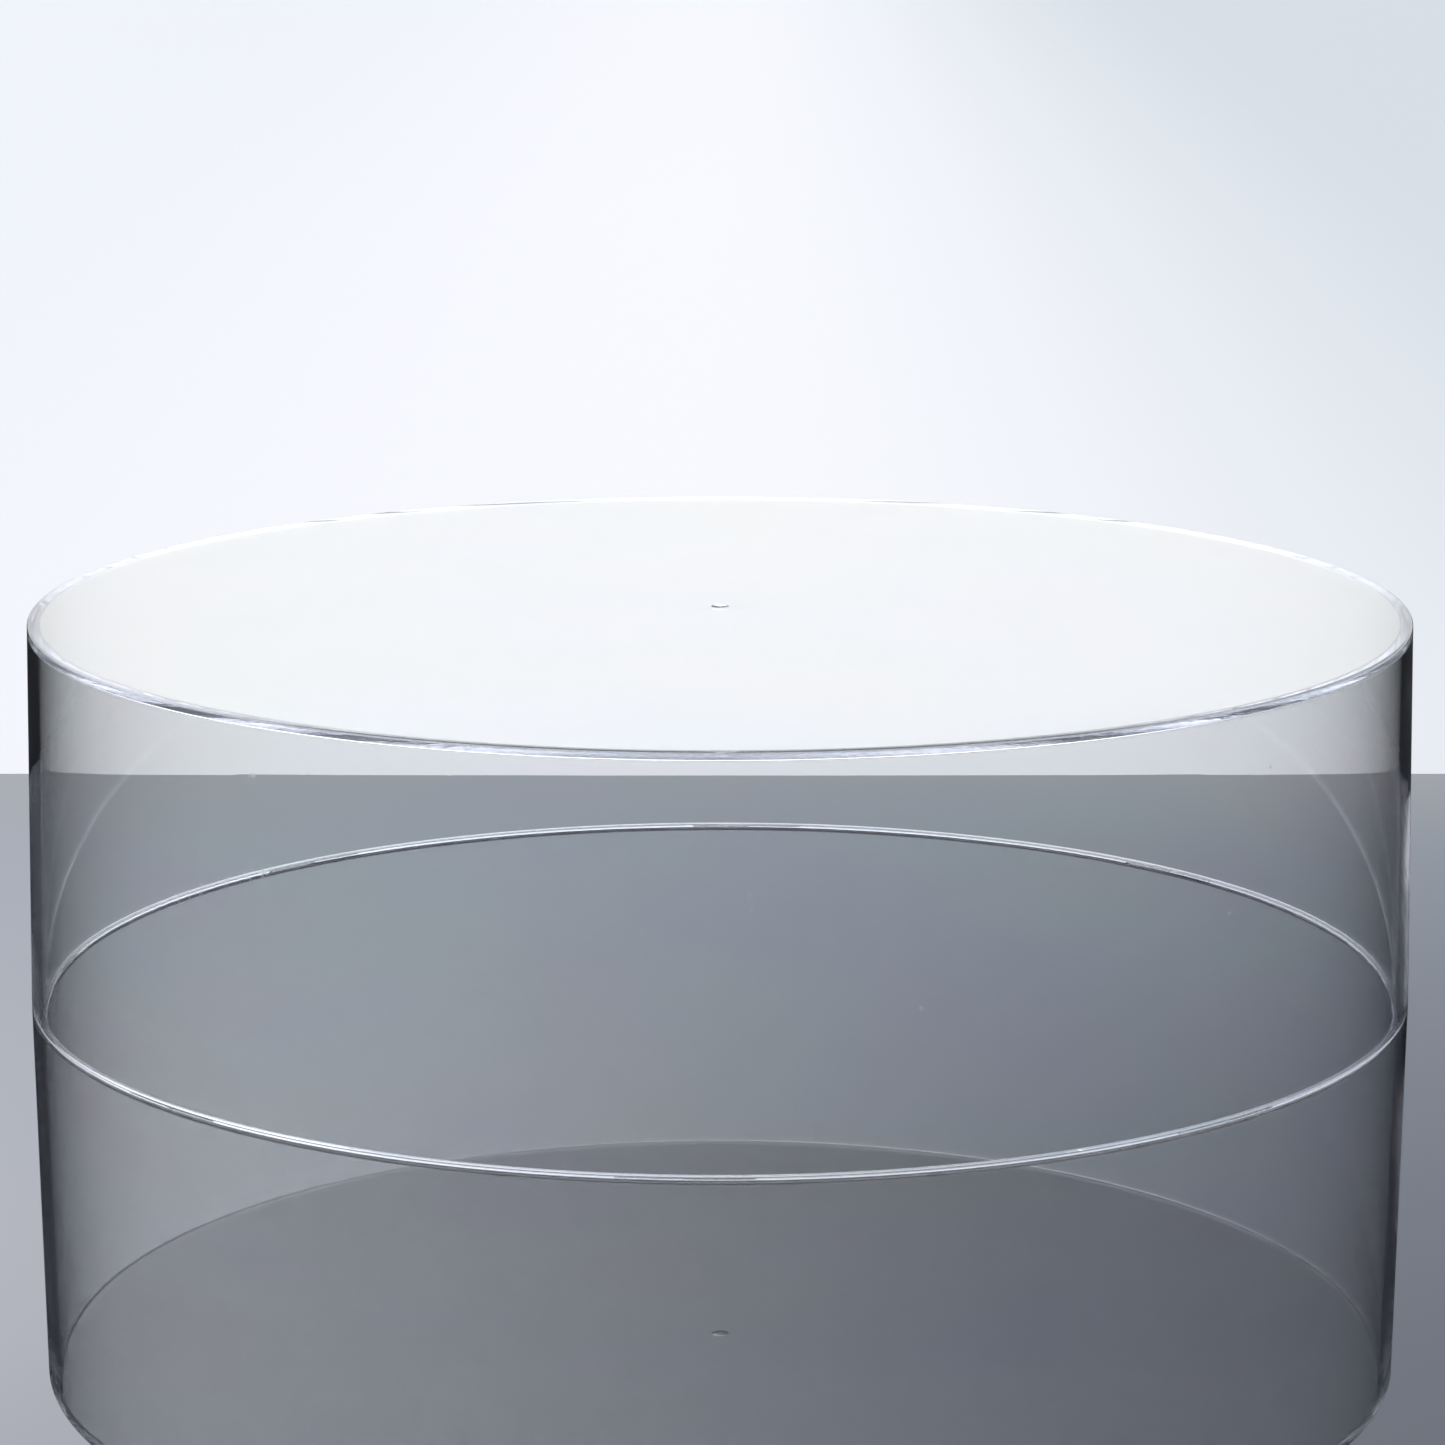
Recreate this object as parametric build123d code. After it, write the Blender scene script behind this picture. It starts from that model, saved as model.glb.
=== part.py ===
from build123d import *
import math
import os

# A clear round display stand that turns by hand: one hollow drum, open underneath, which runs on a
# thin ring hidden inside its foot. Millimetres and degrees, +Z up. The origin is the centre of the
# footprint, on the surface that the stand rests on, and +Z is the axis that the drum turns about.

# The drum
TOP_DIAMETER = 200.0        # display face, to where the sloping side meets its plane
HEIGHT = 56.0               # resting surface to display face
DRAFT_ANGLE = 0.9           # the side widens downwards by this much, so that it left its mould
WALL = 1.6                  # side wall, measured level
PLATE = 1.3                 # display plate
TOP_EDGE_RADIUS = 0.4       # outer edge of the display face
INNER_CORNER_RADIUS = 0.3   # where the plate meets the wall inside
FOOT_EDGE_RADIUS = 0.1      # both lower edges of the skirt

# The mark that the mould's central gate leaves in the display face
GATE_DIAMETER = 2.6
GATE_DEPTH = 0.32
STUB_DIAMETER = 0.9
STUB_BELOW_FACE = 0.08      # the stub stays under the face, so that a flat thing still sits on it

# The rebate inside the foot, and what stands in it
SKIRT = 0.55                # thickness of the wall that hangs outside the ring
SKIRT_GAP = 0.12            # skirt to resting surface
RUNNING_CLEARANCE = 0.08    # ring to skirt, radially
RING_WIDTH = 1.6
RING_HEIGHT = 0.3
RING_EDGE_CHAMFER = 0.05
SLIP_THICKNESS = 0.1
SLIP_GAP = 0.02             # on each face of the slip ring
SLIP_EDGE_MARGIN = 0.05     # the slip ring is this much narrower than the base ring, on each side

# The grip pads in the underside of the base ring
PAD_COUNT = 8
PAD_LENGTH = 9.0            # along the ring
PAD_WIDTH = 0.9
PAD_THICKNESS = 0.2
PAD_PROUD = 0.08            # how far a pad stands out of the ring
PAD_FIT = 0.05              # pad to pocket, on each side

# Heights and radii that follow from them
ring_bottom = PAD_PROUD
ring_top = ring_bottom + RING_HEIGHT
slip_bottom = ring_top + SLIP_GAP
slip_top = slip_bottom + SLIP_THICKNESS
step_height = slip_top + SLIP_GAP
pocket_depth = PAD_THICKNESS - PAD_PROUD


def side_radius(z):
    """Outer radius of the drum's drafted side at a height."""
    return TOP_DIAMETER / 2 + (HEIGHT - z) * math.tan(math.radians(DRAFT_ANGLE))


rebate_radius = side_radius(SKIRT_GAP) - SKIRT
ring_outer = rebate_radius - RUNNING_CLEARANCE
ring_inner = ring_outer - RING_WIDTH
pad_radius = (ring_outer + ring_inner) / 2


def turned(points, rounds=(), chamfers=(), arc=360):
    """A solid of revolution about Z from (radius, height) corners. Rounds and chamfers are pairs of
    the corners they act on and their size."""
    with BuildPart() as piece:
        with BuildSketch(Plane.XZ) as section:
            with BuildLine():
                Polyline(*points, close=True)
            make_face()
            for corners, size in rounds:
                fillet(vertices_at(section, corners), radius=size)
            for corners, size in chamfers:
                chamfer(vertices_at(section, corners), length=size)
        revolve(axis=Axis.Z, revolution_arc=arc)
    return piece.part


def vertices_at(section, corners):
    """The section's vertices nearest to the given (radius, height) corners."""
    found = section.sketch.vertices()
    return [min(found, key=lambda v: math.hypot(v.X - r, v.Z - z)) for r, z in corners]


def rectangle(r_low, r_high, z_low, z_high):
    return [(r_low, z_low), (r_high, z_low), (r_high, z_high), (r_low, z_high)]


def gate_mark():
    """The shallow dish that the gate leaves, and the stub that stands in it."""
    dish_radius = ((GATE_DIAMETER / 2) ** 2 + GATE_DEPTH ** 2) / (2 * GATE_DEPTH)
    dish = Pos(0, 0, HEIGHT - GATE_DEPTH + dish_radius) * Sphere(dish_radius)
    stub_low = HEIGHT - GATE_DEPTH - (PLATE - GATE_DEPTH) / 2
    stub_height = HEIGHT - STUB_BELOW_FACE - stub_low
    stub = Pos(0, 0, stub_low + stub_height / 2) * Cylinder(STUB_DIAMETER / 2, stub_height)
    return dish, stub


def clear_drum():
    """The moulded drum: display plate, drafted wall, and a rebate and skirt at the foot."""
    plate_corner = (side_radius(HEIGHT - PLATE) - WALL, HEIGHT - PLATE)
    top_edge = (side_radius(HEIGHT), HEIGHT)
    skirt_inner = (rebate_radius, SKIRT_GAP)
    skirt_outer = (side_radius(SKIRT_GAP), SKIRT_GAP)
    outline = [
        (0, HEIGHT - PLATE),
        plate_corner,
        (side_radius(step_height) - WALL, step_height),
        (rebate_radius, step_height),
        skirt_inner,
        skirt_outer,
        top_edge,
        (0, HEIGHT),
    ]
    rounds = [
        ([plate_corner], INNER_CORNER_RADIUS),
        ([top_edge], TOP_EDGE_RADIUS),
        ([skirt_inner, skirt_outer], min(FOOT_EDGE_RADIUS, 0.45 * SKIRT)),
    ]
    dish, stub = gate_mark()
    return turned(outline, rounds) - dish + stub


def pad_sector(width, length, z_low, z_high):
    """A short stretch of ring, centred on +X, for a pad or for its pocket."""
    arc = math.degrees(length / pad_radius)
    outline = rectangle(pad_radius - width / 2, pad_radius + width / 2, z_low, z_high)
    return Rot(0, 0, -arc / 2) * turned(outline, arc=arc)


def around_ring(piece):
    return [Rot(0, 0, k * 360 / PAD_COUNT) * piece for k in range(PAD_COUNT)]


def base_ring():
    """The ring that stays still: the drum turns round it, and the pads sit in its underside."""
    outline = rectangle(ring_inner, ring_outer, ring_bottom, ring_top)
    pocket = pad_sector(
        PAD_WIDTH + 2 * PAD_FIT,
        PAD_LENGTH + 2 * PAD_FIT,
        ring_bottom - PAD_PROUD,
        ring_bottom + pocket_depth,
    )
    ring = turned(outline, chamfers=[(outline, RING_EDGE_CHAMFER)])
    for cut in around_ring(pocket):
        ring -= cut
    return ring


def slip_ring():
    """The thin loose ring of low-friction film between the base ring and the drum."""
    return turned(
        rectangle(
            ring_inner + SLIP_EDGE_MARGIN,
            ring_outer - SLIP_EDGE_MARGIN,
            slip_bottom,
            slip_top,
        )
    )


def grip_pads():
    """The soft pads, which touch the resting surface and hold the base ring still."""
    pad = pad_sector(PAD_WIDTH, PAD_LENGTH, ring_bottom - PAD_PROUD, ring_bottom + pocket_depth)
    return Compound(children=around_ring(pad))


os.makedirs("parts", exist_ok=True)
export_step(clear_drum(), "parts/clear_drum.step")
export_step(base_ring(), "parts/base_ring.step")
export_step(slip_ring(), "parts/slip_ring.step")
export_step(grip_pads(), "parts/grip_pads.step")
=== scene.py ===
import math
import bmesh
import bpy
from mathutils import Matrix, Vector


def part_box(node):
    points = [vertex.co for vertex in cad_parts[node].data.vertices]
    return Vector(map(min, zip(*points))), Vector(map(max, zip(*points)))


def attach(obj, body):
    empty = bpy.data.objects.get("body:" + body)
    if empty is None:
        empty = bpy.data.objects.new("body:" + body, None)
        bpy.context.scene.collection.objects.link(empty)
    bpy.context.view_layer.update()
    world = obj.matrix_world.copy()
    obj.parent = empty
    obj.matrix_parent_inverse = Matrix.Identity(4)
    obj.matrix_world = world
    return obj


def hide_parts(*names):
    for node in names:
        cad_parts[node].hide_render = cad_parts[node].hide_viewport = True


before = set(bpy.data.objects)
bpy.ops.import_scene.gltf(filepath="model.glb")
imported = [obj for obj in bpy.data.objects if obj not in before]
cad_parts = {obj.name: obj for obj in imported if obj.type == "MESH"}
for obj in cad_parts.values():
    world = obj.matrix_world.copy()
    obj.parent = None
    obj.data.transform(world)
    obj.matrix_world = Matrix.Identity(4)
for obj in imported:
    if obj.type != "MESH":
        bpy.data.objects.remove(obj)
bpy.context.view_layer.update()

# %% [markdown]
# # A clear display stand that turns
# The object is a hollow drum, moulded in one shot from colourless clear plastic and open
# underneath. It runs on a thin clear ring that hides in a step inside its foot, with a loose slip
# film between the two and soft pads under the ring. The CAD frame is already loaded: it fixes
# every size, and this script builds the pieces that are seen. A clear thing has almost no colour
# of its own, so most of the work is in true thicknesses, true edge radii and what stands round it.

# %% [markdown]
# ## Sizes
# Every place is worked out from the boxes of the CAD pieces, plus the few sizes that a box can't
# tell, such as a wall or an edge radius. Blender works in metres, so a millimetre has a name.

# %% Sizes of the drum, the ring, the film and the pads
MM = 0.001
ROUND = 480                       # sides of a full circle, enough for a smooth clear edge

drum_low, drum_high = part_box("clear_drum")
ring_low, ring_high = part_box("base_ring")
film_low, film_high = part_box("slip_ring")
pads_low, pads_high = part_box("grip_pads")

FACE = drum_high.z                # height of the display face
SKIRT_FOOT = drum_low.z           # lower edge of the skirt
FOOT_RADIUS = drum_high.x
TOP_RADIUS = 100 * MM
WALL = 1.6 * MM
PLATE = 1.3 * MM
SKIRT = 0.55 * MM
STEP = film_high.z + 0.02 * MM    # the drum's step, which rests on the film
DRAFT = (FOOT_RADIUS - TOP_RADIUS) / (FACE - SKIRT_FOOT)

RING_OUTER = ring_high.x
RING_WIDTH = 1.6 * MM
print("drum", round(FOOT_RADIUS / MM, 3), "foot radius,", round(FACE / MM, 2), "high")

# %% [markdown]
# ## Working by hand, in code
# The helpers below do what a hand does in the viewport: clear the selection, enter edit mode, pick
# faces or edges by where they are, and leave the finished piece with its origin at the world's.

# %% Selecting and finishing helpers
def clear_selection():
    if bpy.context.object and bpy.context.object.mode != "OBJECT":
        bpy.ops.object.mode_set(mode="OBJECT")
    bpy.ops.object.select_all(action="DESELECT")


def name_piece(name):
    """Names the primitive just added and opens it for editing, with nothing picked."""
    piece = bpy.context.object
    piece.name = name
    piece.data.name = name
    bpy.ops.object.transform_apply(location=True, rotation=True, scale=True)
    bpy.ops.object.mode_set(mode="EDIT")
    bpy.ops.mesh.select_mode(type="FACE")
    bpy.ops.mesh.select_all(action="DESELECT")
    return piece


def pick_faces(piece, wanted):
    """Picks the faces whose centre and normal pass a test, and nothing else."""
    bpy.ops.mesh.select_mode(type="FACE")
    bpy.ops.mesh.select_all(action="DESELECT")
    shape = bmesh.from_edit_mesh(piece.data)
    picked = [f for f in shape.faces if wanted(f.calc_center_median(), f.normal)]
    for face in picked:
        face.select_set(True)
    bmesh.update_edit_mesh(piece.data)
    return len(picked)


def pick_circle(piece, radius, height, slack=0.02 * MM):
    """Picks the edges that lie on one level circle about the stand's axis."""
    bpy.ops.mesh.select_mode(type="EDGE")
    bpy.ops.mesh.select_all(action="DESELECT")
    shape = bmesh.from_edit_mesh(piece.data)

    def on_it(v):
        return abs(v.co.xy.length - radius) < slack and abs(v.co.z - height) < slack

    picked = [e for e in shape.edges if all(on_it(v) for v in e.verts)]
    for edge in picked:
        edge.select_set(True)
    bmesh.update_edit_mesh(piece.data)
    return len(picked)


def raise_picked(z):
    """Extrudes what is picked straight up, or down if z is negative."""
    bpy.ops.mesh.extrude_region_move(TRANSFORM_OT_translate={"value": (0, 0, z)})


def scale_picked(factor):
    """Scales what is picked towards or away from the stand's axis."""
    bpy.ops.transform.resize(value=(factor, factor, 1), center_override=(0, 0, 0))


def round_circle(piece, radius, height, size, segments):
    """Rounds one circular edge, and says how many edges it found."""
    found = pick_circle(piece, radius, height)
    bpy.ops.mesh.bevel(offset=size, segments=segments, affect="EDGES", clamp_overlap=True)
    return found


def finish_piece(piece, body, slot, *nodes):
    """Smooths the shading, lets the large faces rule it, and hands the piece to its body."""
    bpy.ops.object.mode_set(mode="OBJECT")
    clear_selection()
    piece.select_set(True)
    bpy.context.view_layer.objects.active = piece
    bpy.ops.object.shade_smooth_by_angle(angle=math.radians(25))
    true_faces = piece.modifiers.new("large_faces_stay_true", "WEIGHTED_NORMAL")
    true_faces.mode = "FACE_AREA"
    true_faces.weight = 100
    true_faces.keep_sharp = True
    bpy.ops.object.modifier_apply(modifier=true_faces.name)
    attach(piece, body)
    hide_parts(*nodes)
    clear_selection()
    print(piece.name, len(piece.data.polygons), "faces")
    return piece


# %% [markdown]
# ## The drum
# A moulder cuts this drum as one revolved cavity. A revolved profile would do here too, but a drum
# is also just a cylinder that has been tapered, hollowed from below and given soft edges, and that
# way each stroke has a name: draft, rebate, hollow, round.

# %% The solid blank, drawn in towards the top so that it would leave its mould
clear_selection()
bpy.ops.mesh.primitive_cylinder_add(
    vertices=ROUND,
    radius=FOOT_RADIUS,
    depth=FACE - SKIRT_FOOT,
    end_fill_type="NGON",
    location=(0, 0, (FACE + SKIRT_FOOT) / 2),
)
drum = name_piece("clear_drum_shell")
pick_faces(drum, lambda at, normal: normal.z > 0.9)
scale_picked(TOP_RADIUS / FOOT_RADIUS)

# %% The rebate that hides the ring, then the hollow above it
pick_faces(drum, lambda at, normal: normal.z < -0.9)
bpy.ops.mesh.inset(thickness=SKIRT)
raise_picked(STEP - SKIRT_FOOT)

rebate_radius = FOOT_RADIUS - SKIRT
inner_foot = FOOT_RADIUS - (STEP - SKIRT_FOOT) * DRAFT - WALL
bpy.ops.mesh.inset(thickness=rebate_radius - inner_foot)

inner_top = TOP_RADIUS + PLATE * DRAFT - WALL
raise_picked(FACE - PLATE - STEP)
scale_picked(inner_top / inner_foot)
print("hollow", round(inner_foot / MM, 2), "to", round(inner_top / MM, 2), "mm in radius")

# %% Soft edges: the display edge, the inner corner and the lip of the skirt
round_circle(drum, TOP_RADIUS, FACE, 0.4 * MM, 6)
round_circle(drum, inner_top, FACE - PLATE, 0.3 * MM, 6)
round_circle(drum, FOOT_RADIUS, SKIRT_FOOT, 0.1 * MM, 4)
round_circle(drum, rebate_radius, SKIRT_FOOT, 0.1 * MM, 4)

# %% [markdown]
# ## The gate mark
# Plastic enters such a mould through a pin-sized gate at the middle of the face. When the runner
# is torn off it leaves a shallow dish with a rough stub. A few insets that step down along a
# sphere make the dish, and one extrusion, kept just under the face, makes the stub.

# %% The dish and its stub
GATE_RADIUS, GATE_DEPTH = 1.3 * MM, 0.32 * MM
STUB_RADIUS, STUB_UNDER_FACE = 0.45 * MM, 0.08 * MM
DISH_RINGS = 6

dish_sphere = (GATE_RADIUS ** 2 + GATE_DEPTH ** 2) / (2 * GATE_DEPTH)


def dish_height(radius):
    """How far under the face the dish lies at a distance from its middle."""
    sphere_centre = FACE - GATE_DEPTH + dish_sphere
    return sphere_centre - math.sqrt(dish_sphere ** 2 - radius ** 2)


pick_faces(drum, lambda at, normal: normal.z > 0.999 and at.z > FACE - 0.01 * MM)
face_radius = TOP_RADIUS - 0.4 * MM
bpy.ops.mesh.inset(thickness=face_radius - GATE_RADIUS)
ring_radius = GATE_RADIUS
for step in range(DISH_RINGS):
    smaller = GATE_RADIUS - (GATE_RADIUS - STUB_RADIUS) * (step + 1) / DISH_RINGS
    bpy.ops.mesh.inset(thickness=ring_radius - smaller)
    drop = dish_height(smaller) - dish_height(ring_radius)
    bpy.ops.transform.translate(value=(0, 0, drop))
    ring_radius = smaller
raise_picked(FACE - STUB_UNDER_FACE - dish_height(STUB_RADIUS))
bpy.ops.mesh.inset(thickness=0.12 * MM)
bpy.ops.transform.translate(value=(0, 0, 0.03 * MM))
finish_piece(drum, "drum", "clear_styrene", "clear_drum")

# %% [markdown]
# ## The base ring
# The ring is punched from thin clear sheet. A disc is inset three times, which leaves a band for
# the pads between two rims, the middle is deleted, and the flat ring is given its thickness. The
# pockets are then pushed up into the underside, at whole steps of the circle.

# %% The flat ring, thickened
PAD_COUNT = 8
POCKET_SIDES = 7                  # sides of the circle that one pocket spans
POCKET_WIDTH = 1.0 * MM
RIM = (RING_WIDTH - POCKET_WIDTH) / 2
POCKET_DEPTH = pads_high.z - ring_low.z
SIDE_ANGLE = 2 * math.pi / ROUND

clear_selection()
bpy.ops.mesh.primitive_circle_add(
    vertices=ROUND,
    radius=RING_OUTER,
    fill_type="NGON",
    location=(0, 0, ring_low.z),
    rotation=(0, 0, SIDE_ANGLE / 2),
)
ring = name_piece("base_ring_body")
bpy.ops.mesh.select_all(action="SELECT")
for band in (RIM, POCKET_WIDTH, RIM):
    bpy.ops.mesh.inset(thickness=band)
bpy.ops.mesh.delete(type="FACE")
bpy.ops.mesh.select_all(action="SELECT")
raise_picked(ring_high.z - ring_low.z)
bpy.ops.mesh.select_all(action="SELECT")
bpy.ops.mesh.normals_make_consistent(inside=False)

# %% The pockets for the pads
pad_radius = RING_OUTER - RING_WIDTH / 2
half_pocket = SIDE_ANGLE * POCKET_SIDES / 2


def in_a_pocket(at, normal):
    """True for a face of the pad band, on the underside, within a pocket's share of the circle."""
    turn = math.atan2(at.y, at.x)
    spacing = 2 * math.pi / PAD_COUNT
    off_centre = abs((turn + spacing / 2) % spacing - spacing / 2)
    in_band = abs(at.xy.length - pad_radius) < POCKET_WIDTH / 4
    return normal.z < -0.9 and in_band and off_centre < half_pocket


print("pocket faces:", pick_faces(ring, in_a_pocket))
raise_picked(POCKET_DEPTH)

# %% Broken edges, as a punched sheet has after tumbling
for radius in (RING_OUTER, RING_OUTER - RING_WIDTH):
    for height in (ring_low.z, ring_high.z):
        round_circle(ring, radius, height, 0.05 * MM, 2)
finish_piece(ring, "base", "clear_ring_plastic", "base_ring")

# %% [markdown]
# ## The slip film
# A loose hoop of milky low-friction film lies on the ring and carries the drum. It is cut from
# sheet as well, so it starts the same way, and a little bevel softens the cut.

# %% The film hoop
FILM_WIDTH = film_high.x - (RING_OUTER - RING_WIDTH + 0.05 * MM)

clear_selection()
bpy.ops.mesh.primitive_circle_add(
    vertices=ROUND, radius=film_high.x, fill_type="NGON", location=(0, 0, film_low.z)
)
film = name_piece("slip_ring_film")
bpy.ops.mesh.select_all(action="SELECT")
bpy.ops.mesh.inset(thickness=FILM_WIDTH)
bpy.ops.mesh.delete(type="FACE")
bpy.ops.mesh.select_all(action="SELECT")
raise_picked(film_high.z - film_low.z)
bpy.ops.mesh.select_all(action="SELECT")
bpy.ops.mesh.normals_make_consistent(inside=False)
for radius in (film_high.x, film_high.x - FILM_WIDTH):
    round_circle(film, radius, film_high.z, 0.02 * MM, 1)
finish_piece(film, "slip", "slip_film", "slip_ring")

# %% [markdown]
# ## The grip pads
# Each pad is a short curved strip of soft clear silicone. One flat cross-section is spun about the
# stand's axis, its edges are rounded as poured silicone is, and copies are turned round the ring.

# %% One pad, spun from its cross-section
PAD_WIDTH = 0.9 * MM
PAD_LENGTH = 9.0 * MM
PAD_STEPS = 16
pad_thickness = pads_high.z - pads_low.z
pad_angle = PAD_LENGTH / pad_radius

clear_selection()
bpy.ops.mesh.primitive_plane_add(
    size=1,
    location=(pad_radius, 0, (pads_low.z + pads_high.z) / 2),
    rotation=(math.pi / 2, 0, 0),
)
bpy.context.object.scale = (PAD_WIDTH, pad_thickness, 1)
first_pad = name_piece("grip_pad_1")
bpy.ops.mesh.select_all(action="SELECT")
bpy.ops.transform.rotate(
    value=pad_angle / 2, orient_axis="Z", center_override=(0, 0, 0)
)
shape = bmesh.from_edit_mesh(first_pad.data)
starts_at = math.atan2(shape.faces[:][0].calc_center_median().y, pad_radius)
bpy.ops.mesh.spin(
    steps=PAD_STEPS,
    angle=-math.copysign(pad_angle, starts_at),
    center=(0, 0, 0),
    axis=(0, 0, 1),
)
bpy.ops.mesh.select_all(action="SELECT")
bpy.ops.mesh.remove_doubles(threshold=0.001 * MM)
bpy.ops.mesh.normals_make_consistent(inside=False)
bpy.ops.object.mode_set(mode="OBJECT")
print("pad spans y", [round(v.co.y / MM, 2) for v in first_pad.data.vertices][:1], "mm")

# %% Rounded edges, then the other pads as turned copies with their own meshes
soft = first_pad.modifiers.new("soft_edges", "BEVEL")
soft.width = 0.05 * MM
soft.segments = 3
soft.limit_method = "ANGLE"
soft.angle_limit = math.radians(50)
bpy.ops.object.modifier_apply(modifier=soft.name)

pads = [first_pad]
for number in range(1, PAD_COUNT):
    copy = first_pad.copy()
    copy.data = first_pad.data.copy()
    copy.name = f"grip_pad_{number + 1}"
    bpy.context.collection.objects.link(copy)
    copy.rotation_euler.z = number * 2 * math.pi / PAD_COUNT
    clear_selection()
    copy.select_set(True)
    bpy.context.view_layer.objects.active = copy
    bpy.ops.object.transform_apply(location=True, rotation=True, scale=True)
    pads.append(copy)
for pad in pads:
    finish_piece(pad, "base", "clear_silicone", "grip_pads")

# %% [markdown]
# ## Shared effects
# The mould's polish is never quite even. Plastic flows out from the gate and freezes in faint
# streaks, across the face and then down the wall, the cavity leaves slow waves, and handling adds
# hair scratches and a little dust. One node group works all of that out from Object coordinates,
# and each clear material takes from it what it needs.

# %% Small helpers for wiring nodes
def add_node(tree, kind, label="", **settings):
    """A new node with a label and any of its own settings."""
    node = tree.nodes.new(kind)
    node.label = label
    for key, value in settings.items():
        setattr(node, key, value)
    return node


def sockets(node, **values):
    """Sets named inputs, with spaces written as underscores."""
    for key, value in values.items():
        node.inputs[key.replace("_", " ")].default_value = value
    return node


def number_node(tree, operation, first, second=0.0, clamp=False):
    """A Math node whose inputs may be numbers or other nodes' outputs."""
    node = add_node(tree, "ShaderNodeMath", operation=operation, use_clamp=clamp)
    for place, given in enumerate((first, second)):
        if isinstance(given, bpy.types.NodeSocket):
            tree.links.new(given, node.inputs[place])
        else:
            node.inputs[place].default_value = given
    return node.outputs[0]


def stretched(tree, vector, scale):
    """A vector multiplied by a scale on each axis."""
    node = add_node(tree, "ShaderNodeVectorMath", operation="MULTIPLY")
    tree.links.new(vector, node.inputs[0])
    node.inputs[1].default_value = scale
    return node.outputs[0]


def noise(tree, vector, scale, detail=2.0, roughness=0.5):
    node = add_node(tree, "ShaderNodeTexNoise")
    sockets(node, Scale=scale, Detail=detail, Roughness=roughness)
    tree.links.new(vector, node.inputs["Vector"])
    return node.outputs["Fac"]


def separated(tree, vector, axis):
    """One coordinate of a vector."""
    node = add_node(tree, "ShaderNodeSeparateXYZ")
    tree.links.new(vector, node.inputs[0])
    return node.outputs[axis]


def masked(tree, value, low, high):
    """A value remapped so that low gives 0 and high gives 1, smoothly."""
    node = add_node(tree, "ShaderNodeMapRange", interpolation_type="SMOOTHSTEP")
    sockets(node, From_Min=low, From_Max=high)
    tree.links.new(value, node.inputs["Value"])
    return node.outputs["Result"]


# %% The group: streaks, waves, scratches and dust on moulded plastic
FACE_ENDS_AT = 54.5 * MM          # heights between which the waves grow to their size in the wall
WALL_STARTS_AT = 48 * MM


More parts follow.
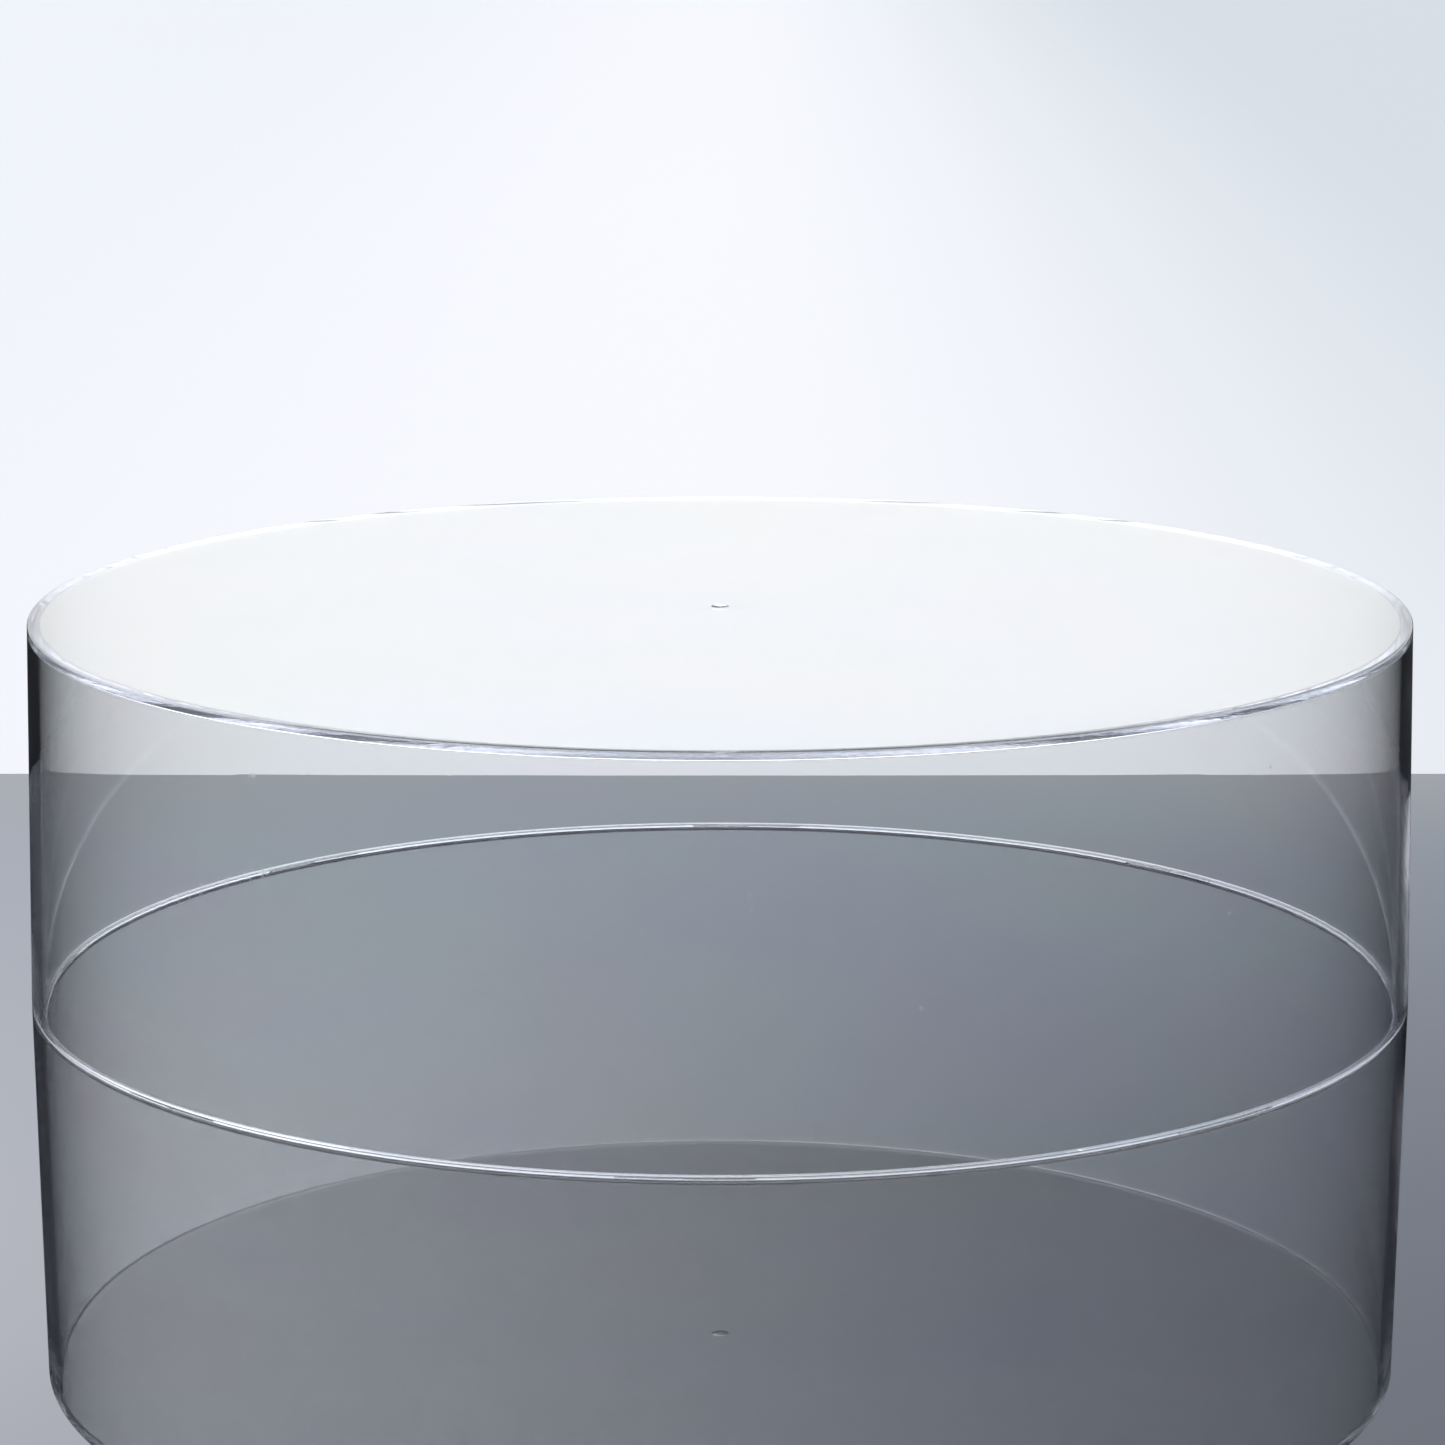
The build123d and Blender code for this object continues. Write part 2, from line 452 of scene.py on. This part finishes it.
def moulded_surface_group():
    group = bpy.data.node_groups.new("moulded_surface", "ShaderNodeTree")
    face = group.interface
    for name, start in (
        ("Polish", 0.02),
        ("Streaks", 0.2),
        ("Scratches", 0.5),
        ("Dust", 0.5),
        ("Waves", 1.0),
    ):
        socket = face.new_socket(name=name, in_out="INPUT", socket_type="NodeSocketFloat")
        socket.default_value = start
    face.new_socket(name="Roughness", in_out="OUTPUT", socket_type="NodeSocketFloat")
    face.new_socket(name="Height", in_out="OUTPUT", socket_type="NodeSocketFloat")
    face.new_socket(name="Dust Mask", in_out="OUTPUT", socket_type="NodeSocketFloat")

    given = add_node(group, "NodeGroupInput")
    place = add_node(group, "ShaderNodeTexCoord").outputs["Object"]

    # Flow: the direction from the axis, so that streaks run out from the gate and down the wall
    level = stretched(group, place, (1, 1, 0))
    outward = add_node(group, "ShaderNodeVectorMath", operation="NORMALIZE")
    group.links.new(level, outward.inputs[0])
    along = stretched(group, place, (1.5, 1.5, 1.5))
    flow_place = add_node(group, "ShaderNodeVectorMath", operation="MULTIPLY_ADD")
    group.links.new(outward.outputs[0], flow_place.inputs[0])
    flow_place.inputs[1].default_value = (3, 3, 3)
    group.links.new(along, flow_place.inputs[2])
    streaks = noise(group, flow_place.outputs[0], 9.0, 3.0, 0.55)

    # Waves: slow unevenness of the cavity and of the shrinkage behind it
    waves = noise(group, place, 26.0, 1.0, 0.4)
    in_the_wall = masked(group, separated(group, place, "Z"), FACE_ENDS_AT, WALL_STARTS_AT)
    twice_in_the_wall = number_node(group, "ADD", in_the_wall, 1.0)
    waves = number_node(group, "MULTIPLY", waves, twice_in_the_wall)

    # Scratches: long thin marks in three directions, broken up by a coarser noise
    hairs = None
    for lean in ((1.0, 0.012, 0.3), (0.02, 1.0, 0.3), (0.7, 0.7, 0.015)):
        lines = noise(group, stretched(group, place, lean), 2600.0, 1.0, 0.3)
        thin = masked(group, lines, 0.70, 0.74)
        hairs = thin if hairs is None else number_node(group, "MAXIMUM", hairs, thin)
    worn = masked(group, noise(group, place, 45.0, 2.0), 0.52, 0.66)
    hairs = number_node(group, "MULTIPLY", hairs, worn)
    hairs = number_node(group, "MULTIPLY", hairs, given.outputs["Scratches"])

    # Dust: a few round specks, one to a cell at most
    cells = add_node(group, "ShaderNodeTexVoronoi", feature="F1")
    sockets(cells, Scale=220.0)
    group.links.new(place, cells.inputs["Vector"])
    speck = masked(group, cells.outputs["Distance"], 0.10, 0.05)
    chosen = masked(group, cells.outputs["Color"], 0.80, 0.84)
    dust = number_node(group, "MULTIPLY", speck, chosen)
    dust = number_node(group, "MULTIPLY", dust, given.outputs["Dust"])

    rough = number_node(group, "MULTIPLY", streaks, given.outputs["Streaks"])
    rough = number_node(group, "MULTIPLY", rough, 0.02)
    rough = number_node(group, "ADD", rough, given.outputs["Polish"])
    rough = number_node(group, "ADD", rough, number_node(group, "MULTIPLY", hairs, 0.12))
    rough = number_node(group, "ADD", rough, number_node(group, "MULTIPLY", dust, 0.45), True)

    height = number_node(group, "MULTIPLY", streaks, given.outputs["Streaks"])
    height = number_node(group, "MULTIPLY", height, 0.25)
    slow = number_node(group, "MULTIPLY", waves, given.outputs["Waves"])
    height = number_node(group, "ADD", height, slow)
    height = number_node(group, "SUBTRACT", height, number_node(group, "MULTIPLY", hairs, 0.01))

    out = add_node(group, "NodeGroupOutput")
    group.links.new(rough, out.inputs["Roughness"])
    group.links.new(height, out.inputs["Height"])
    group.links.new(dust, out.inputs["Dust Mask"])
    return group


SURFACE = moulded_surface_group()


# %% [markdown]
# ## Stress tints
# Clear styrene freezes with strain in it, and strained plastic turns polarised light faintly
# pink, green and blue. The real tints follow the strain. Here a slow noise stands in for it: a
# very pale colour that changes slowly over the whole drum. A group puts out just that colour.

# %% The stress colour group
def stress_tint_group():
    group = bpy.data.node_groups.new("stress_tint", "ShaderNodeTree")
    strength = group.interface.new_socket(
        name="Strength", in_out="INPUT", socket_type="NodeSocketFloat"
    )
    strength.default_value = 0.5
    group.interface.new_socket(name="Color", in_out="OUTPUT", socket_type="NodeSocketColor")

    given = add_node(group, "NodeGroupInput")
    place = add_node(group, "ShaderNodeTexCoord").outputs["Object"]
    bands = noise(group, stretched(group, place, (1, 1, 3)), 14.0, 1.0, 0.4)
    ramp = add_node(group, "ShaderNodeValToRGB").color_ramp
    ramp.interpolation = "B_SPLINE"
    tints = (
        (0.28, (0.985, 0.970, 0.995, 1)),
        (0.42, (0.990, 0.990, 0.975, 1)),
        (0.52, (0.965, 1.00, 0.995, 1)),
        (0.62, (0.985, 0.985, 1.00, 1)),
        (0.74, (0.96, 0.975, 1.00, 1)),
    )
    while len(ramp.elements) < len(tints):
        ramp.elements.new(0.5)
    for element, (position, colour) in zip(ramp.elements, tints):
        element.position = position
        element.color = colour
    ramp_node = group.nodes[-1]
    group.links.new(bands, ramp_node.inputs[0])

    mix = add_node(group, "ShaderNodeMix", data_type="RGBA")
    mix.inputs[6].default_value = (0.995, 0.995, 0.995, 1)
    group.links.new(given.outputs["Strength"], mix.inputs[0])
    group.links.new(ramp_node.outputs[0], mix.inputs[7])
    out = add_node(group, "NodeGroupOutput")
    group.links.new(mix.outputs[2], out.inputs["Color"])
    return group


STRESS = stress_tint_group()


# %% [markdown]
# ## Materials
# All four are clear to some degree, so all four use transmission. Glass-like shaders take their
# look from index of refraction, a trace of roughness and, inside, a weak absorption that only
# shows where light runs a long way through the plastic.

# %% A starting point that the four materials share
def clear_material(name, ior, surface_values, bump_mm):
    """A Principled material whose roughness and bump come from the moulded surface group."""
    material = bpy.data.materials.new(name)
    material.use_nodes = True
    tree = material.node_tree
    shader = tree.nodes["Principled BSDF"]
    sockets(shader, IOR=ior, Transmission_Weight=1.0, Metallic=0.0)
    surface = add_node(tree, "ShaderNodeGroup", label="moulded surface")
    surface.node_tree = SURFACE
    sockets(surface, **surface_values)
    tree.links.new(surface.outputs["Roughness"], shader.inputs["Roughness"])
    bump = add_node(tree, "ShaderNodeBump")
    sockets(bump, Strength=1.0, Distance=bump_mm * MM)
    tree.links.new(surface.outputs["Height"], bump.inputs["Height"])
    tree.links.new(bump.outputs["Normal"], shader.inputs["Normal"])
    return material, tree, shader, surface


def absorb(tree, colour, density):
    """Weak absorption inside the plastic."""
    inside = add_node(tree, "ShaderNodeVolumeAbsorption")
    sockets(inside, Color=colour, Density=density)
    tree.links.new(inside.outputs[0], tree.nodes["Material Output"].inputs["Volume"])


# %% Clear styrene for the drum
styrene, tree, shader, surface = clear_material(
    "clear_styrene",
    1.59,
    dict(Polish=0.004, Streaks=0.25, Scratches=0.4, Dust=0.35, Waves=1.0),
    0.03,
)
stress = add_node(tree, "ShaderNodeGroup", label="stress tint")
stress.node_tree = STRESS
sockets(stress, Strength=1.0)
tree.links.new(stress.outputs["Color"], shader.inputs["Base Color"])
absorb(tree, (0.90, 0.91, 0.93, 1), 12.0)
drum.data.materials.append(styrene)

# %% Clear sheet for the ring
ring_plastic, tree, shader, surface = clear_material(
    "clear_ring_plastic",
    1.58,
    dict(Polish=0.02, Streaks=0.2, Scratches=0.6, Dust=0.2, Waves=0.5),
    0.01,
)
wear = add_node(tree, "ShaderNodeMix", data_type="RGBA")
wear.inputs[6].default_value = (0.96, 0.97, 0.98, 1)
wear.inputs[7].default_value = (0.86, 0.89, 0.92, 1)
tree.links.new(surface.outputs["Dust Mask"], wear.inputs[0])
tree.links.new(wear.outputs[2], shader.inputs["Base Color"])
ring.data.materials.append(ring_plastic)

# %% Milky film for the slip ring
film_plastic, tree, shader, surface = clear_material(
    "slip_film",
    1.38,
    dict(Polish=0.12, Streaks=0.6, Scratches=1.0, Dust=0.1, Waves=0.5),
    0.01,
)
cloud = add_node(tree, "ShaderNodeMix", data_type="RGBA")
cloud.inputs[6].default_value = (0.93, 0.94, 0.95, 1)
cloud.inputs[7].default_value = (0.84, 0.86, 0.88, 1)
milk = noise(tree, add_node(tree, "ShaderNodeTexCoord").outputs["Object"], 350.0, 3.0)
tree.links.new(milk, cloud.inputs[0])
tree.links.new(cloud.outputs[2], shader.inputs["Base Color"])
film.data.materials.append(film_plastic)

# %% Soft clear silicone for the pads
silicone, tree, shader, surface = clear_material(
    "clear_silicone",
    1.41,
    dict(Polish=0.08, Streaks=0.0, Scratches=0.3, Dust=1.0, Waves=0.5),
    0.02,
)
lint = add_node(tree, "ShaderNodeMix", data_type="RGBA")
lint.inputs[6].default_value = (0.86, 0.88, 0.89, 1)
lint.inputs[7].default_value = (0.60, 0.60, 0.58, 1)
tree.links.new(surface.outputs["Dust Mask"], lint.inputs[0])
tree.links.new(lint.outputs[2], shader.inputs["Base Color"])
for pad in pads:
    pad.data.materials.append(silicone)

# %% [markdown]
# ## The studio
# Clear plastic is drawn by its surroundings. The stand sits on a polished dark sheet that mirrors
# it, on a white table that runs back as the plain backdrop, with shade painted into its colour
# towards both sides. Overhead hangs a bright soft box, and the room is a little darker to the
# right.
#
# This light is not physical. The stage counts how often light has been turned round. After two
# turns it meets a dark room, so the steep edges of the drum draw themselves as dark lines. After
# many turns it has run a long way along the plastic and meets a pale one, which is what makes
# the rim and foot glow. Only stage materials and the world do this, never the stand's own.

# %% The polished plate and the white table under it
PLATE_BACK = 1.40 * TOP_RADIUS
PLATE_THICK = 4 * MM
SIDE_REACH = 3.0
FRONT_REACH = 0.9


def plain_slab(name, low, high):
    """A slab for the stage, with softened edges."""
    clear_selection()
    middle = (Vector(low) + Vector(high)) / 2
    bpy.ops.mesh.primitive_cube_add(size=1, location=middle)
    bpy.context.object.scale = Vector(high) - Vector(low)
    slab = name_piece(name)
    bpy.ops.mesh.select_all(action="SELECT")
    bpy.ops.mesh.bevel(offset=0.4 * MM, segments=2, affect="EDGES")
    bpy.ops.object.mode_set(mode="OBJECT")
    clear_selection()
    return slab


mirror_plate = plain_slab(
    "stage_plate",
    (-SIDE_REACH, -FRONT_REACH, -PLATE_THICK),
    (SIDE_REACH, PLATE_BACK, 0),
)
table = plain_slab("stage_table", (-5, -5, -PLATE_THICK - 0.02), (5, 5, -PLATE_THICK))


def stage_material(name, colour, roughness):
    """A plain Principled material for the stage."""
    material = bpy.data.materials.new(name)
    material.use_nodes = True
    shader = material.node_tree.nodes["Principled BSDF"]
    sockets(shader, Base_Color=colour, Roughness=roughness)
    return material


def paint_shade_when_turned(material, pale, dark):
    """Paints shade on a stage material: a dark colour for light that has been turned round
    already.
    """
    tree = material.node_tree
    turned = number_node(tree, "GREATER_THAN", turns_of_light(tree), 0.5)   # once or more
    colour = blend_colours(tree, turned, pale, dark)
    tree.links.new(colour, tree.nodes["Principled BSDF"].inputs["Base Color"])


def painted_glow_for_guided_light(material, glow, strong_glow):
    """Paints light on a stage material: it glows, but only for light guided down inside the wall.
    """
    tree = material.node_tree
    turns = turns_of_light(tree)
    started = number_node(tree, "GREATER_THAN", turns, GUIDED_AFTER)
    far_along = number_node(tree, "GREATER_THAN", turns, FAR_GUIDED_AFTER)
    colour = blend_colours(tree, started, (0, 0, 0, 1), glow)
    colour = blend_colours(tree, far_along, colour, strong_glow)
    tree.links.new(colour, tree.nodes["Principled BSDF"].inputs["Emission Color"])
    sockets(tree.nodes["Principled BSDF"], Emission_Strength=1.0)


def painted_shade_to_the_sides(tree, colour_left, colour_middle, colour_right):
    """The table's colour with painted shade: whitest behind the stand, dimmer to both sides."""
    place = add_node(tree, "ShaderNodeTexCoord").outputs["Object"]
    across = separated(tree, place, "X")
    left = masked(tree, across, 0.0, -0.30)
    right = masked(tree, across, 0.0, 0.30)
    return blend_colours(
        tree, right, blend_colours(tree, left, colour_middle, colour_left), colour_right
    )


def blend_colours(tree, share, first, second):
    """A Mix node between two colours, each a value or another node's output."""
    node = add_node(tree, "ShaderNodeMix", data_type="RGBA")
    tree.links.new(share, node.inputs[0])
    for place, given in ((6, first), (7, second)):
        if isinstance(given, bpy.types.NodeSocket):
            tree.links.new(given, node.inputs[place])
        else:
            node.inputs[place].default_value = given
    return node.outputs[2]


def turns_of_light(tree):
    """How often light has been turned round: not at all where it only goes straight through."""
    path = add_node(tree, "ShaderNodeLightPath")
    return number_node(
        tree, "SUBTRACT", path.outputs["Ray Depth"], path.outputs["Transmission Depth"]
    )


# %% The stage's colours, and the numbers of turns that count as guided light
GUIDED_AFTER = 6.5
FAR_GUIDED_AFTER = 14.5
WORLD_ADDS = 1.0                  # the world counts one turn more than a surface does

PLATE_GREY = (0.012, 0.013, 0.016, 1)
TABLE_WHITE = (0.333, 0.335, 0.340, 1)
# The side colours are painted shade: the table darkens towards both sides, most to the right.
TABLE_LEFT_PAINTED_SHADE = (0.304, 0.310, 0.322, 1)
TABLE_RIGHT_PAINTED_SHADE = (0.232, 0.252, 0.264, 1)
DEEP_SHADE = (0.005, 0.006, 0.008, 1)
# Painted light: the colours the plate glows with, for light guided along the wall.
GUIDED_GLOW = (0.80, 0.82, 0.94, 1)
STRONG_GLOW = (1.42, 1.45, 1.60, 1)
plate_polish = stage_material("stage_plate_polish", PLATE_GREY, 0.0)
sockets(plate_polish.node_tree.nodes["Principled BSDF"], IOR=1.8)
table_white = stage_material("stage_table_white", TABLE_WHITE, 0.7)
# Painted shade: the plate and the table turn dark for light that has been turned round once or
# more.
paint_shade_when_turned(plate_polish, PLATE_GREY, DEEP_SHADE)
# Painted light: the plate glows, though it is no lamp, where guided light reaches it.
painted_glow_for_guided_light(plate_polish, GUIDED_GLOW, STRONG_GLOW)
# Painted shade: the table's colour darkens towards both sides.
table_shade = painted_shade_to_the_sides(table_white.node_tree, TABLE_LEFT_PAINTED_SHADE, TABLE_WHITE, TABLE_RIGHT_PAINTED_SHADE)
paint_shade_when_turned(table_white, table_shade, DEEP_SHADE)
mirror_plate.data.materials.append(plate_polish)
table.data.materials.append(table_white)

# %% The surroundings
world = bpy.data.worlds.new("studio")
bpy.context.scene.world = world
world.use_nodes = True
tree = world.node_tree
background = tree.nodes["Background"]
turns = turns_of_light(tree)
turned_round = number_node(tree, "GREATER_THAN", turns, 1.5 + WORLD_ADDS)
past_the_sheet = number_node(
    tree,
    "MULTIPLY",
    number_node(tree, "GREATER_THAN", turns, 2.5 + WORLD_ADDS),
    number_node(tree, "LESS_THAN", turns, 3.5 + WORLD_ADDS),
)
guided = number_node(tree, "GREATER_THAN", turns, GUIDED_AFTER + WORLD_ADDS)
guided_across = number_node(tree, "GREATER_THAN", turns, FAR_GUIDED_AFTER + WORLD_ADDS)

# %% The room by height and side: even low down, bright higher on the left, dimmer on the right
looking = add_node(tree, "ShaderNodeSeparateXYZ")
tree.links.new(add_node(tree, "ShaderNodeTexCoord").outputs["Generated"], looking.inputs[0])

low_sweep = (1.12, 1.125, 1.14, 1)
low = blend_colours(
    tree,
    masked(tree, looking.outputs["X"], -0.15, 0.30),
    (1.08, 1.18, 1.34, 1),
    (0.76, 0.85, 0.98, 1),
)
high = blend_colours(
    tree,
    masked(tree, looking.outputs["X"], -0.22, 0.16),
    (2.00, 2.05, 2.26, 1),
    (0.68, 0.73, 0.86, 1),
)
room = blend_colours(tree, masked(tree, looking.outputs["Z"], 0.20, 0.33), low, high)
room = blend_colours(tree, masked(tree, looking.outputs["Z"], 0.195, 0.235), low_sweep, room)
soft_box = masked(tree, looking.outputs["Z"], 0.50, 0.85)
# The soft box is brighter for the table that it lights than for the plastic that mirrors it
on_the_table = add_node(tree, "ShaderNodeLightPath").outputs["Is Diffuse Ray"]
soft_light = blend_colours(tree, on_the_table, (2.4, 2.4, 2.43, 1), (4.0, 4.0, 4.05, 1))
room = blend_colours(tree, soft_box, room, soft_light)
room = blend_colours(tree, turned_round, room, (0.02, 0.022, 0.032, 1))
room = blend_colours(tree, past_the_sheet, room, (0.66, 0.68, 0.74, 1))
room = blend_colours(tree, guided, room, (1.10, 1.13, 1.25, 1))
room = blend_colours(tree, guided_across, room, (1.42, 1.45, 1.60, 1))
tree.links.new(room, background.inputs["Color"])

# %% Enough light bounces for a thin wall that guides light along itself
bounces = bpy.context.scene.cycles
bounces.max_bounces = 72
bounces.glossy_bounces = 64
bounces.transmission_bounces = 40
bounces.transparent_max_bounces = 8
print("light may bounce", bounces.max_bounces, "times")

# %% The camera
CAMERA_BACK = 6.892 * TOP_RADIUS
CAMERA_UP = 1.839 * TOP_RADIUS
CAMERA_PITCH = math.radians(11.90)
CAMERA_ASIDE = 0.0036 * TOP_RADIUS
LENS = 119.86

camera_data = bpy.data.cameras.new("camera")
camera_data.lens = LENS
camera_data.sensor_width = 36
camera = bpy.data.objects.new("camera", camera_data)
bpy.context.collection.objects.link(camera)
camera.location = (CAMERA_ASIDE, -CAMERA_BACK, CAMERA_UP)
camera.rotation_euler = (math.pi / 2 - CAMERA_PITCH, 0, 0)
camera_data.clip_start, camera_data.clip_end = 0.01, 30
bpy.context.scene.camera = camera
bpy.context.scene.view_settings.view_transform = "Standard"
